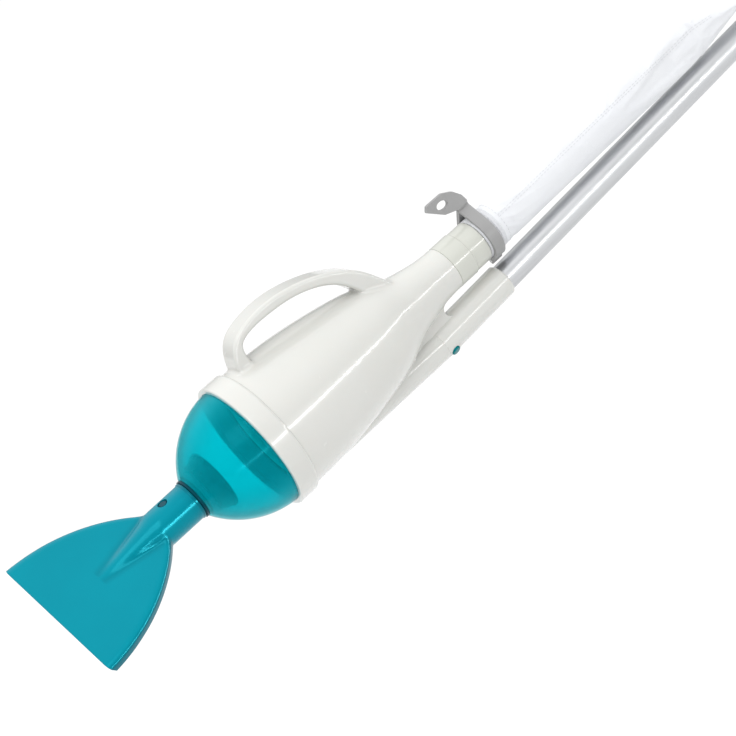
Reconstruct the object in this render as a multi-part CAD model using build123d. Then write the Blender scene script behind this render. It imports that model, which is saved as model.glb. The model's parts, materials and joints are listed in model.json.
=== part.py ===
from build123d import *
from math import acos, atan2, cos, degrees, hypot, radians, sin, tan
import os

# Manual pool and spa vacuum head: a swivelling fishtail nozzle, a clear valve dome, a bottle-shaped
# body with a carrying handle, a clamped filter bag and a push-in pole section.
# Millimetres. The shapes are drawn along the head's own axis (+X, zero at the nozzle mouth) and moved
# at the end, so that the frame's origin lies on the pole axis at the pole's free end.

# ---------------------------------------------------------------- driving dimensions
POLE_DROP = 42.5            # pole axis below the head axis, at the socket's mouth
POLE_TILT = 2.9             # the pole closes in on the head axis towards its free end, degrees
POLE_R = 12.5               # 25 mm aluminium pole
POLE_WALL = 1.2
POLE_START_X = 376.0
POLE_END_X = 822.0          # free end of the pole section
POLE_END_BORE_R = 11.55     # widened bore that takes the next section
POLE_END_BORE_LENGTH = 40.0

FAN_HALF_WIDTH = 66.5
FAN_THICKNESS = 11.5
FAN_WALL = 2.0
FAN_BEVEL = 6.2             # how far one lip of the mouth stands ahead of the other
FAN_LENGTH = 104.0          # mouth to the corner where the fan meets the tube
FAN_SIDE_MIDDLE = (0.6, 0.735)   # the side's middle point: share of the length, share of the half width
FAN_EDGE_R = 3.2
FAN_OVERLAP = 4.0           # how far the fan runs into the tube
RIDGE_TIP_X = 43.5
NOZZLE_R = 16.7
NOZZLE_BORE_R = 14.45
NOZZLE_END_X = 139.6
NOZZLE_LIP_LENGTH = 2.4     # raised lip at the tube's end
NOZZLE_LIP_HEIGHT = 0.7
NOZZLE_TURN = 34.0          # swivel angle of the fan about the head axis, degrees

SPIGOT_START_X = 108.0
SPIGOT_R = 14.4
SPIGOT_BORE_R = 12.2
JOURNAL_R = 17.2
O_RING_GROOVE_WIDTH = 2.5
O_RING_GROOVE_R = 15.0
O_RING_R = 1.08
SNAP_GROOVE_DEPTH = 0.8
SNAP_RING_R = 18.2
SNAP_RING_GAP = 3.0
SNAP_RING_X = 139.9
SNAP_RING_WIDTH = 2.0
O_RING_X = 146.1
CUP_FRONT_X = 150.6
CUP_FLOOR_X = 152.2
CUP_REAR_X = 165.2
CUP_R = 25.8
CUP_WALL = 2.0
CUP_RIM_LENGTH = 3.0
CUP_RIM_HEIGHT = 0.8
CUP_SHOULDER_R = 21.0       # outer radius of the cup's floor
CUP_FLOOR_R = 20.2
FLAP_EAR_Y = (6.0, 8.4)     # the two ears that hold the flap's pin
FLAP_EAR_Z = (14.6, 21.5)
FLAP_EAR_REACH = 2.6
SEAT_BORE_R = 11.0
SEAT_R = 14.4
SEAT_THICKNESS = 2.2
SEAT_LIP_HEIGHT = 0.8
SEAT_LIP_WIDTH = 1.6
FLAP_R = 13.6
FLAP_THICKNESS = 1.6
FLAP_PIN_R = 1.25
FLAP_PIN_Z = 16.8
FLAP_PIN_X = 155.2
FLAP_GAP = 0.3
FLAP_BARREL_R = 2.2
FLAP_BARREL_LENGTH = 10.8
FLAP_STIFFENER = 0.8
FLAP_PIN_LENGTH = 16.8

DOME_FRONT_X = 142.2
DOME_MOUTH_R = 18.8
DOME_MID_X = 160.0
DOME_MID_R = 39.3
DOME_REAR_X = 202.5
DOME_REAR_R = 56.2
DOME_WALL = 2.2
DOME_BORE_R = 17.25
DOME_SLEEVE_R = 19.6
DOME_SLEEVE_END_X = 150.2
DOME_FLANGE_R = 56.2
DOME_SKIRT_R = 53.2
DOME_SKIRT_END_X = 219.6
LUG_COUNT = 3
LUG_ANGLE = 16.0
LUG_HEIGHT = 1.6
LUG_LENGTH = 4.0
LUG_FRONT_X = 213.0
LUG_PLAY = 1.0              # spare angle each side of a lug, degrees
LUG_CLEARANCE = 0.3
TWIST = 20.0                # unlocking turn of the dome, degrees

RIM_FRONT_X = 203.0
RIM_REAR_X = 221.5
RIM_R = 60.4
RIM_EDGE_R = 1.6
RIM_RECESS_R = 56.3
RIM_RECESS_END_X = 207.0
RIM_BORE_R = 53.3
LEDGE_FRONT_X = 221.0
LEDGE_REAR_X = 224.0
LEDGE_BORE_R = 50.5
SEAL_WIDTH = 2.4
SEAL_THICKNESS = 1.0
BODY_WALL = 2.5
BODY_OUTLINE = [(225.0, 57.8), (253.0, 56.8), (290.0, 52.8), (322.0, 47.2), (354.0, 38.8),
                (376.0, 29.6), (400.0, 23.4), (428.0, 20.5)]
NECK_BORE_R = 17.9
NECK_BORE_START_X = 410.0
NECK_END_X = 428.0

SOCKET_R = 14.75
SOCKET_BORE_R = 12.6
SOCKET_BORE_START_X = 375.0
SOCKET_END_X = 466.0
FAIRING_START_X = 226.0
FAIRING_END_X = 387.0
FAIRING_R = 14.45
FAIRING_DROP = 46.6         # axis of the fairing, which runs level under the belly
WEB_REAR_X = 407.0
WEB_THICKNESS = 16.0
WEB_FRONT_X = 330.0
WEB_TOP_Z = -18.0
WEB_RELIEF_R = 6.0          # rounded notch at the web's rear end
WEB_RELIEF_Z = -26.5
SOCKET_CHAMFER = 1.4

HANDLE_WIDTH = 25.0
HANDLE_EDGE_R = 3.0
HANDLE_OUTER = [(229.0, 48.0), (232.5, 67.0), (241.0, 79.0), (259.0, 85.8), (282.0, 87.2), (311.0, 82.0),
                (340.0, 70.0), (362.0, 53.0), (373.0, 37.0), (383.0, 22.0)]
HANDLE_INNER = [(246.0, 48.0), (243.6, 62.0), (246.4, 73.0), (256.0, 77.0), (273.0, 77.8), (297.0, 75.6),
                (321.0, 68.6), (337.0, 59.0), (348.0, 46.5), (355.0, 30.0)]

ADAPTOR_START_X = 411.0
ADAPTOR_PLUG_R = 17.85
ADAPTOR_R = 20.5
ADAPTOR_STEP_X = 447.0
ADAPTOR_STEP_R = 19.8
ADAPTOR_SHOULDER_X = 464.6
BAG_SPIGOT_R = 18.0
BAG_SPIGOT_END_X = 481.5
ADAPTOR_BORE_R = 15.3
ADAPTOR_EDGE = 0.8
ADAPTOR_GROOVE = (417.0, 419.4)
ADAPTOR_GROOVE_DEPTH = 1.7
ADAPTOR_RING_R = 0.85

BAG_R = 19.0
BAG_WALL = 0.8
BAG_END_X = 803.0
BAG_TAPER_X = 735.0
BAG_FLAT_HALF_WIDTH = 29.5
BAG_FLAT_HALF_HEIGHT = 1.8
BAG_TAPER_STEPS = 5
BAG_BINDING_LENGTH = 5.0
BAG_BINDING_EDGE_R = 1.2
BAG_TILT = 1.7              # the bag is held up towards its sewn end, degrees
COLLAR_R = 19.6
COLLAR_START_X = 465.0
COLLAR_END_X = 482.5

CLAMP_START_X = 466.5
CLAMP_WIDTH = 10.5
CLAMP_INNER_R = 19.95
CLAMP_OUTER_R = 23.0
CLAMP_PIN_R = 1.2
CLAMP_PIN_Z = -23.6
CLAMP_BARREL_R = 2.7
EAR_TOP_Z = 33.0
EAR_THICKNESS = 3.0
CLAMP_SPLIT = 0.3           # half of the gap between the jaws
LOOP_THICKNESS = 4.0
LOOP_EDGE_R = 1.6
LOOP_OUTLINE = [(440.6, 49.0), (444.0, 53.4), (461.0, 53.2), (470.0, 48.5), (475.5, 41.0), (477.5, 33.0),
                (467.5, 32.0), (453.5, 37.0)]
LOOP_HOLE = (456.0, 45.2)
LOOP_HOLE_RADII = (5.6, 3.7)
LOOP_HOLE_TILT = -12.0
CLAMP_KNUCKLE_GAP = 0.1     # each side of a knuckle

POLE_BUTTON_X = 391.0
POLE_BUTTON_ANGLE = 225.0   # direction of the button about the pole axis, from +Y towards +Z
POLE_BUTTON_R = 4.4
POLE_BUTTON_TOP = 16.1      # distance of the button's crown from the pole axis
POLE_BUTTON_FOOT = 10.2
POLE_BUTTON_EDGE_R = 1.2
POLE_SPRING_NEAR = 9.6      # leaf under the button, from the pole axis
POLE_SPRING_FAR = -10.0
POLE_SPRING_REACH = 42.0
POLE_SPRING_THICKNESS = 0.6
POLE_SPRING_BEND_R = 3.0
POLE_PLUG_LENGTH = 9.0
POLE_PLUG_WALL = 2.0
NOZZLE_BUTTON_X = 118.6
NOZZLE_BUTTON_ANGLE = 100.0
NOZZLE_BUTTON_R = 3.9
NOZZLE_BUTTON_TOP = 15.9
NOZZLE_BUTTON_FOOT = 11.8
NOZZLE_BUTTON_EDGE = 0.7
NOZZLE_BUTTON_HOLE = 0.6    # spare radius of the nozzle's hole round the button
NOZZLE_SPRING_BORE_R = 11.3
NOZZLE_SPRING_HALF_WIDTH = 4.0
RUNNING_CLEARANCE = 0.05
HOLE_CLEARANCE = 0.1
# ---------------------------------------------------------------- end of the driving dimensions


def revolved(*edges):
    """Solid made by turning a closed outline, drawn as (x, radius), about the head axis."""
    return revolve(make_face(Wire(list(edges))), Axis.X, 360)


def ring(x0, x1, inner, outer):
    """Plain ring or washer about the head axis."""
    return revolved(*Polyline((x0, inner), (x1, inner), (x1, outer), (x0, outer), close=True).edges())


def rod(x0, x1, radius, y=0.0, z=0.0):
    """Cylinder parallel to the head axis."""
    return Pos((x0 + x1) / 2, y, z) * Rot(0, 90, 0) * Cylinder(radius, x1 - x0)


def radial_rod(x, angle, near, far, radius, z=0.0):
    """Cylinder that stands out from an axis parallel to X, at an angle from +Y towards +Z."""
    return Pos(x, 0, z) * Rot(angle, 0, 0) * Pos(0, (near + far) / 2, 0) * Rot(90, 0, 0) * Cylinder(
        radius, far - near)


def outward(angle):
    """Axis that points away from the head axis, at an angle from +Y towards +Z."""
    return Axis((0, 0, 0), (0, cos(radians(angle)), sin(radians(angle))))


def block(x0, x1, y0, y1, z0, z1):
    """Box between two corners."""
    return Pos((x0 + x1) / 2, (y0 + y1) / 2, (z0 + z1) / 2) * Box(x1 - x0, y1 - y0, z1 - z0)


def sector(x0, x1, start, end):
    """Prism that covers a stretch of angle about the head axis, from +Y towards +Z, in degrees."""
    reach = 100.0
    steps = max(2, round((end - start) / 30))
    angles = [radians(start + (end - start) * i / steps) for i in range(steps + 1)]
    rim = [(reach * cos(a), reach * sin(a)) for a in angles]
    face = make_face(Wire(Polyline((0, 0), *rim, close=True).edges()))
    return Pos(x0, 0, 0) * extrude(Plane.YZ * face, x1 - x0)


def on_pole_axis(shape):
    """Move a shape drawn along the head axis onto the tilted pole axis."""
    hinge = Pos(SOCKET_END_X, 0, -POLE_DROP) * Rot(0, -POLE_TILT, 0)
    return hinge * Pos(-SOCKET_END_X, 0, 0) * shape


def torus_about_x(x, major, minor):
    return Pos(x, 0, 0) * Rot(0, 90, 0) * Torus(major, minor)


def circle_through(a, b, c):
    """Centre and radius of the circle through three points."""
    d = 2 * (a[0] * (b[1] - c[1]) + b[0] * (c[1] - a[1]) + c[0] * (a[1] - b[1]))
    sa, sb, sc = (p[0] ** 2 + p[1] ** 2 for p in (a, b, c))
    x = (sa * (b[1] - c[1]) + sb * (c[1] - a[1]) + sc * (a[1] - b[1])) / d
    y = (sa * (c[0] - b[0]) + sb * (a[0] - c[0]) + sc * (b[0] - a[0])) / d
    return x, y, hypot(a[0] - x, a[1] - y)


# ---------------------------------------------------------------- nozzle
def fan_plate(half_width, thickness, front_x, inset):
    """Flat part of the fishtail: convex sides that close in on the tube."""
    tube = NOZZLE_R - inset
    middle_x, middle_y = FAN_LENGTH * FAN_SIDE_MIDDLE[0], half_width * FAN_SIDE_MIDDLE[1]
    side = ThreePointArc((0, half_width), (middle_x, middle_y), (FAN_LENGTH, tube))
    rear_x = FAN_LENGTH + FAN_OVERLAP
    other_side = ThreePointArc((FAN_LENGTH, -tube), (middle_x, -middle_y), (0, -half_width))
    outline = [
        Line((front_x, half_width), (0, half_width)), side, Line((FAN_LENGTH, tube), (rear_x, tube)),
        Line((rear_x, tube), (rear_x, -tube)), Line((rear_x, -tube), (FAN_LENGTH, -tube)), other_side,
        Line((0, -half_width), (front_x, -half_width)), Line((front_x, -half_width), (front_x, half_width)),
    ]
    return extrude(make_face(Wire(outline)), thickness / 2, both=True)


def fan_ridge(radius, tip_x):
    """Cone that spreads from the ridge's tip to the tube."""
    start = FAN_THICKNESS * 0.4
    return revolved(*Polyline((tip_x, 0), (tip_x, start), (FAN_LENGTH + 3, radius), (FAN_LENGTH + 3, 0),
                              close=True).edges())


def mouth_cut():
    """Wedge that bevels the mouth, so that the upper lip stands ahead of the lower one."""
    half = FAN_THICKNESS / 2
    slope = FAN_BEVEL / FAN_THICKNESS
    reach = 20.0
    outline = Polyline((-reach, -reach), (slope * reach, -reach), (-slope * reach, reach), (-reach, reach),
                       close=True)
    wedge = extrude(Plane.XZ * make_face(Wire(outline.edges())), FAN_HALF_WIDTH + half, both=True)
    return wedge


def nozzle_fan():
    front = -FAN_BEVEL
    plate = fan_plate(FAN_HALF_WIDTH, FAN_THICKNESS, front, 0)
    long_edges = plate.edges().filter_by(lambda e: abs(abs(e.center().Z) - FAN_THICKNESS / 2) < 0.01
                                         and abs(e.center().Y) > 1 and e.length > 8)
    plate = fillet(long_edges, FAN_EDGE_R)
    outer = plate + fan_ridge(NOZZLE_R, RIDGE_TIP_X) + rod(FAN_LENGTH + 2, NOZZLE_END_X, NOZZLE_R)
    outer += ring(NOZZLE_END_X - NOZZLE_LIP_LENGTH, NOZZLE_END_X, NOZZLE_BORE_R, NOZZLE_R + NOZZLE_LIP_HEIGHT)
    inner = fan_plate(FAN_HALF_WIDTH - FAN_WALL, FAN_THICKNESS - 2 * FAN_WALL, front - 5, FAN_WALL + 0.3)
    inner += fan_ridge(NOZZLE_BORE_R, RIDGE_TIP_X + 8)
    inner += rod(FAN_LENGTH + 2, NOZZLE_END_X + 1, NOZZLE_BORE_R)
    shell = outer - inner - mouth_cut()
    shell = Rot(NOZZLE_TURN, 0, 0) * shell
    return shell - radial_rod(NOZZLE_BUTTON_X, NOZZLE_BUTTON_ANGLE, 10, 20, NOZZLE_BUTTON_R + NOZZLE_BUTTON_HOLE)


def nozzle_button():
    pin = radial_rod(NOZZLE_BUTTON_X, NOZZLE_BUTTON_ANGLE, NOZZLE_BUTTON_FOOT, NOZZLE_BUTTON_TOP, NOZZLE_BUTTON_R)
    return chamfer(pin.edges().group_by(outward(NOZZLE_BUTTON_ANGLE))[-1], NOZZLE_BUTTON_EDGE)


def nozzle_button_spring():
    """Open band spring that lines the spigot's bore and pushes the button out."""
    x0, x1 = NOZZLE_BUTTON_X - NOZZLE_SPRING_HALF_WIDTH, NOZZLE_BUTTON_X + NOZZLE_SPRING_HALF_WIDTH
    band = ring(x0, x1, NOZZLE_SPRING_BORE_R, NOZZLE_BUTTON_FOOT)
    gap = block(x0 - 1, x1 + 1, -6, 6, -15, -5)
    return band - Rot(NOZZLE_BUTTON_ANGLE - 90, 0, 0) * gap


# ---------------------------------------------------------------- inlet spigot and its check valve
def inlet_spigot():
    tube = ring(SPIGOT_START_X, CUP_FLOOR_X, SPIGOT_BORE_R, SPIGOT_R)
    journal = ring(DOME_FRONT_X, CUP_FLOOR_X, SPIGOT_R - 0.5, JOURNAL_R)
    rim_x, rim_r = CUP_REAR_X - CUP_RIM_LENGTH, CUP_R + CUP_RIM_HEIGHT
    cup_outer = [(CUP_FRONT_X, SPIGOT_R), (CUP_FRONT_X, CUP_SHOULDER_R), (rim_x, CUP_R), (rim_x, rim_r),
                 (CUP_REAR_X, rim_r), (CUP_REAR_X, CUP_R - CUP_WALL)]
    cup_inner = [(CUP_FLOOR_X, CUP_FLOOR_R), (CUP_FLOOR_X, SPIGOT_R)]
    cup = revolved(*Polyline(*(cup_outer + cup_inner), close=True).edges())
    ears = Part()
    for side in (-1, 1):
        y_near, y_far = sorted(side * y for y in FLAP_EAR_Y)
        ears += block(CUP_FLOOR_X - 0.5, FLAP_PIN_X + FLAP_EAR_REACH, y_near, y_far, *FLAP_EAR_Z)
    bowl = rod(CUP_FLOOR_X - 0.5, CUP_REAR_X, CUP_R - 1.0)
    spigot = tube + journal + cup + (ears & bowl)
    half_groove = O_RING_GROOVE_WIDTH / 2
    spigot -= ring(O_RING_X - half_groove, O_RING_X + half_groove, O_RING_GROOVE_R, JOURNAL_R + 1)
    spigot -= ring(SNAP_RING_X, SNAP_RING_X + SNAP_RING_WIDTH, SPIGOT_R - SNAP_GROOVE_DEPTH, SPIGOT_R + 1)
    spigot -= across_flap(FLAP_PIN_R, 30)
    spigot -= radial_rod(NOZZLE_BUTTON_X, NOZZLE_BUTTON_ANGLE, 8, 20, NOZZLE_BUTTON_R + HOLE_CLEARANCE)
    return spigot


def spigot_o_ring():
    return torus_about_x(O_RING_X, O_RING_GROOVE_R + O_RING_R, O_RING_R)


def spigot_snap_ring():
    """Open ring that keeps the spigot from sliding back through the dome."""
    x0, x1, half_gap = SNAP_RING_X, SNAP_RING_X + SNAP_RING_WIDTH, SNAP_RING_GAP / 2
    washer = ring(x0, x1, SPIGOT_R - SNAP_GROOVE_DEPTH, SNAP_RING_R)
    return washer - block(x0 - 1, x1 + 1, 10, 20, -half_gap, half_gap)


def valve_seat():
    top_x = CUP_FLOOR_X + SEAT_THICKNESS
    base = ring(CUP_FLOOR_X, top_x - SEAT_LIP_HEIGHT, SEAT_BORE_R, SEAT_R)
    return base + ring(top_x - SEAT_LIP_HEIGHT, top_x, SEAT_BORE_R, SEAT_BORE_R + SEAT_LIP_WIDTH)


def across_flap(radius, length):
    """Cylinder along the flap's hinge line."""
    return Pos(FLAP_PIN_X, 0, FLAP_PIN_Z) * Rot(90, 0, 0) * Cylinder(radius, length)


def valve_flap():
    """Rubber disc that hangs from its hinge barrel and closes the seat."""
    x0 = CUP_FLOOR_X + SEAT_THICKNESS + FLAP_GAP
    x1 = x0 + FLAP_THICKNESS
    half_barrel = FLAP_BARREL_LENGTH / 2
    disc = rod(x0, x1, FLAP_R) + rod(x1, x1 + FLAP_STIFFENER, FLAP_R - 4)
    tab = block(x0, x1, -half_barrel, half_barrel, FLAP_R / 2, FLAP_PIN_Z)
    barrel = across_flap(FLAP_BARREL_R, FLAP_BARREL_LENGTH)
    return disc + tab + barrel - across_flap(FLAP_PIN_R + RUNNING_CLEARANCE, FLAP_PIN_LENGTH + 4)


def valve_hinge_pin():
    return across_flap(FLAP_PIN_R, FLAP_PIN_LENGTH)


# ---------------------------------------------------------------- front dome
def dome_outline(inset):
    """Start, middle and end of the dome's arc, moved in by a wall thickness."""
    ends = ((DOME_FRONT_X, DOME_MOUTH_R), (DOME_MID_X, DOME_MID_R), (DOME_REAR_X, DOME_REAR_R))
    cx, cy, radius = circle_through(*ends)
    points = []
    for x, r in ends:
        angle = atan2(r - cy, x - cx)
        points.append((cx + (radius - inset) * cos(angle), cy + (radius - inset) * sin(angle)))
    return points


def dome_bell(inset, rear_x):
    first, middle, last = dome_outline(inset)
    return revolved(ThreePointArc(first, middle, last), *Polyline(last, (rear_x, last[1]), (rear_x, 0),
                                                                 (first[0], 0), first).edges())


def lugs(inner, outer, front_x, rear_x, angle, start):
    """Bayonet lugs, or the spaces for them, evenly spaced about the head axis."""
    shapes = Part()
    span = ring(front_x, rear_x, inner, outer)
    for index in range(LUG_COUNT):
        middle = start + index * 360 / LUG_COUNT
        shapes += span & sector(front_x - 1, rear_x + 1, middle - angle / 2, middle + angle / 2)
    return shapes


def front_dome():
    flange_rear = RIM_RECESS_END_X - HOLE_CLEARANCE
    bell = dome_bell(0, DOME_REAR_X + 1)
    bell += ring(DOME_REAR_X, flange_rear, DOME_SKIRT_R - DOME_WALL, DOME_FLANGE_R)
    bell += ring(DOME_REAR_X, DOME_SKIRT_END_X, DOME_SKIRT_R - DOME_WALL, DOME_SKIRT_R)
    hollow = rod(DOME_REAR_X - 8, DOME_SKIRT_END_X + 1, DOME_SKIRT_R - DOME_WALL)
    bell -= dome_bell(DOME_WALL, DOME_REAR_X) + hollow
    bell += ring(DOME_FRONT_X, DOME_SLEEVE_END_X, DOME_BORE_R, DOME_SLEEVE_R) & dome_bell(0, DOME_REAR_X)
    bell -= rod(DOME_FRONT_X - 5, DOME_SLEEVE_END_X + 2, DOME_BORE_R)
    lug_rear_x = LUG_FRONT_X + LUG_LENGTH
    return bell + lugs(DOME_SKIRT_R - 0.5, DOME_SKIRT_R + LUG_HEIGHT, LUG_FRONT_X, lug_rear_x, LUG_ANGLE, 90)


def dome_seal():
    return ring(LEDGE_FRONT_X - SEAL_THICKNESS, LEDGE_FRONT_X, DOME_SKIRT_R - SEAL_WIDTH, DOME_SKIRT_R)


# ---------------------------------------------------------------- body moulding
def body_solid():
    """Outer volume of the bottle-shaped body, solid to its axis."""
    start, end = BODY_OUTLINE[0], BODY_OUTLINE[-1]
    bottle = Spline(*BODY_OUTLINE, tangents=[(1, -0.02), (1, 0)])
    edge, dip = RIM_EDGE_R, RIM_EDGE_R * (1 - cos(radians(45)))
    front = Polyline((end[0], end[1]), (end[0], 0), (RIM_FRONT_X, 0), (RIM_FRONT_X, RIM_R - edge))
    shoulder = ThreePointArc((RIM_FRONT_X, RIM_R - edge), (RIM_FRONT_X + dip, RIM_R - dip),
                             (RIM_FRONT_X + edge, RIM_R))
    top = Line((RIM_FRONT_X + edge, RIM_R), (RIM_REAR_X - 1.5, RIM_R))
    back = ThreePointArc((RIM_REAR_X - 1.5, RIM_R), (RIM_REAR_X + 0.3, RIM_R - 0.8), (RIM_REAR_X + 1.2, RIM_R - 2.4))
    heel = Line((RIM_REAR_X + 1.2, RIM_R - 2.4), start)
    return revolved(bottle, *front.edges(), shoulder, top, back, heel)


def body_hollow():
    points = [(x, r - BODY_WALL) for x, r in BODY_OUTLINE[:-1]]
    points[0] = (LEDGE_REAR_X, points[0][1])
    points[-1] = (points[-1][0], points[-1][1] - 0.3)
    points.append((NECK_BORE_START_X + 2, NECK_BORE_R))
    bottle = Spline(*points, tangents=[(1, -0.02), (1, 0)])
    neck = Polyline(points[-1], (NECK_END_X + 1, NECK_BORE_R), (NECK_END_X + 1, 0), (LEDGE_REAR_X, 0), points[0])
    hollow = revolved(bottle, *neck.edges())
    hollow += rod(RIM_FRONT_X - 1, RIM_RECESS_END_X, RIM_RECESS_R)
    hollow += rod(RIM_FRONT_X - 1, LEDGE_FRONT_X, RIM_BORE_R)
    hollow += rod(RIM_FRONT_X - 1, LEDGE_REAR_X + 1, LEDGE_BORE_R)
    return hollow


def bayonet_slots():
    """Entry slots and turning channels for the dome's lugs."""
    reach = DOME_SKIRT_R + LUG_HEIGHT + LUG_CLEARANCE
    x0, x1 = LUG_FRONT_X - LUG_CLEARANCE, LUG_FRONT_X + LUG_LENGTH + LUG_CLEARANCE
    width = LUG_ANGLE + 2 * LUG_PLAY
    turning = lugs(RIM_BORE_R - 0.5, reach, x0, x1, width + TWIST, 90 + TWIST / 2)
    entry = lugs(RIM_BORE_R - 0.5, reach, RIM_RECESS_END_X - 0.5, LUG_FRONT_X + 1, width, 90 + TWIST)
    return turning + entry


def body_shell():
    return body_solid() - body_hollow() - bayonet_slots()


def handle():
    outer = Spline(*HANDLE_OUTER)
    inner = Spline(*reversed(HANDLE_INNER))
    outline = [outer, Line(HANDLE_OUTER[-1], HANDLE_INNER[-1]), inner, Line(HANDLE_INNER[0], HANDLE_OUTER[0])]
    strap = extrude(Plane.XZ * make_face(Wire(outline)), HANDLE_WIDTH / 2, both=True)
    long_edges = strap.edges().filter_by(lambda e: abs(abs(e.center().Y) - HANDLE_WIDTH / 2) < 0.01
                                         and e.length > 60)
    return fillet(long_edges, HANDLE_EDGE_R) - body_solid()


def pole_socket():
    """Pole socket, its fairing along the body's belly and the web to the neck."""
    tube = rod(FAIRING_END_X - 2, SOCKET_END_X, SOCKET_R)
    tube = on_pole_axis(chamfer(tube.edges().group_by(Axis.X)[-1], SOCKET_CHAMFER))
    fairing = rod(FAIRING_START_X, FAIRING_END_X, FAIRING_R, z=-FAIRING_DROP)
    half_web = WEB_THICKNESS / 2
    web = block(WEB_FRONT_X, WEB_REAR_X, -half_web, half_web, -FAIRING_DROP, WEB_TOP_Z)
    relief = Pos(WEB_REAR_X + 2, 0, WEB_RELIEF_Z) * Rot(90, 0, 0) * Cylinder(WEB_RELIEF_R, WEB_THICKNESS + 2)
    socket = tube + fairing + (web - relief) - body_solid()
    socket -= on_pole_axis(rod(SOCKET_BORE_START_X, SOCKET_END_X + 1, SOCKET_BORE_R))
    return socket - on_pole_axis(radial_rod(POLE_BUTTON_X, POLE_BUTTON_ANGLE, 5, 20,
                                            POLE_BUTTON_R + HOLE_CLEARANCE))


# ---------------------------------------------------------------- outlet, bag and clamp
def outlet_adaptor():
    outline = [(ADAPTOR_START_X, ADAPTOR_BORE_R), (ADAPTOR_START_X, ADAPTOR_PLUG_R),
               (NECK_END_X, ADAPTOR_PLUG_R), (NECK_END_X, ADAPTOR_R - 0.5), (NECK_END_X + 0.6, ADAPTOR_R - 0.5),
               (NECK_END_X + 0.9, ADAPTOR_R), (ADAPTOR_STEP_X, ADAPTOR_R), (ADAPTOR_STEP_X + 0.8, ADAPTOR_STEP_R),
               (ADAPTOR_SHOULDER_X - ADAPTOR_EDGE, ADAPTOR_STEP_R),
               (ADAPTOR_SHOULDER_X, ADAPTOR_STEP_R - ADAPTOR_EDGE),
               (ADAPTOR_SHOULDER_X, BAG_SPIGOT_R), (BAG_SPIGOT_END_X, BAG_SPIGOT_R),
               (BAG_SPIGOT_END_X + 1.5, BAG_SPIGOT_R - 1), (BAG_SPIGOT_END_X + 1.5, ADAPTOR_BORE_R)]
    adaptor = revolved(*Polyline(*outline, close=True).edges())
    return adaptor - ring(*ADAPTOR_GROOVE, ADAPTOR_PLUG_R - ADAPTOR_GROOVE_DEPTH, ADAPTOR_PLUG_R + 1)


def outlet_o_ring():
    return torus_about_x(sum(ADAPTOR_GROOVE) / 2, ADAPTOR_PLUG_R - ADAPTOR_RING_R, ADAPTOR_RING_R)


def bag_lift(x):
    """Height of the bag's middle line above the head axis."""
    return (x - COLLAR_END_X) * tan(radians(BAG_TILT))


def bag_section(x, half_width, half_height):
    plane = Plane((x, 0, bag_lift(x)), x_dir=(0, 1, 0), z_dir=(1, 0, 0))
    return Sketch() + plane * Ellipse(half_width, half_height)


def bag_volume(inset, start_x, end_x):
    """Sleeve that keeps its girth as it flattens towards its sewn end."""
    start_r = COLLAR_R - 0.1 - inset
    sections = [bag_section(start_x, start_r, start_r - 0.1)]
    for step in range(BAG_TAPER_STEPS + 1):
        part = step / BAG_TAPER_STEPS
        half_width = BAG_R + (BAG_FLAT_HALF_WIDTH - BAG_R) * part**0.7
        half_height = BAG_R - 0.1 + (BAG_FLAT_HALF_HEIGHT - BAG_R + 0.1) * part
        x = BAG_TAPER_X + (end_x - BAG_TAPER_X) * part
        sections.append(bag_section(x, half_width - inset, half_height - inset))
    return loft(sections, ruled=True)


def filter_bag():
    """Closed fabric sleeve, open at its collar."""
    return bag_volume(0, COLLAR_END_X, BAG_END_X) - bag_volume(BAG_WALL, COLLAR_END_X - 1, BAG_END_X - 4)


def bag_collar():
    """Hemmed, elasticated collar under the clamp."""
    return ring(COLLAR_START_X, COLLAR_END_X, BAG_SPIGOT_R + 0.02, COLLAR_R)


def bag_end_binding():
    """Tape sewn over the closed end."""
    half_width, half_height = BAG_FLAT_HALF_WIDTH + 1, BAG_FLAT_HALF_HEIGHT + 0.6
    lift = bag_lift(BAG_END_X)
    x0, x1 = BAG_END_X, BAG_END_X + BAG_BINDING_LENGTH
    tape = block(x0, x1, -half_width, half_width, lift - half_height, lift + half_height)
    return fillet(tape.edges().filter_by(Axis.Y), BAG_BINDING_EDGE_R)


def tangent_foot(x, z, radius):
    """Angle at which the line from a point above touches a circle about the head axis, degrees."""
    return degrees(atan2(z, x) - acos(radius / hypot(x, z)))


def jaw_band(side, inner):
    """Half of the band with an upright ear; side is -1 or +1 along Y."""
    x0, x1 = CLAMP_START_X, CLAMP_START_X + CLAMP_WIDTH
    ear_foot, slot_top = (EAR_THICKNESS, EAR_TOP_Z - 3), (CLAMP_SPLIT, EAR_TOP_Z - 5)
    angle = tangent_foot(*ear_foot, CLAMP_OUTER_R)
    band = ring(x0, x1, inner, CLAMP_OUTER_R) & sector(x0 - 1, x1 + 1, -90, angle)
    band -= block(x0 - 1, x1 + 1, -40, CLAMP_SPLIT, -40, 40)
    foot, inner_foot = [(r * cos(radians(angle)), r * sin(radians(angle))) for r in (CLAMP_OUTER_R, inner)]
    outline = Polyline(foot, ear_foot, (EAR_THICKNESS, EAR_TOP_Z), (CLAMP_SPLIT, EAR_TOP_Z), slot_top,
                       inner_foot, close=True)
    ear = Pos(x0, 0, 0) * extrude(Plane.YZ * make_face(Wire(outline.edges())), CLAMP_WIDTH)
    jaw = band + ear
    return mirror(jaw, Plane.XZ) if side < 0 else jaw


def clamp_barrel(x0, x1):
    return rod(x0, x1, CLAMP_BARREL_R, z=CLAMP_PIN_Z)


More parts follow.
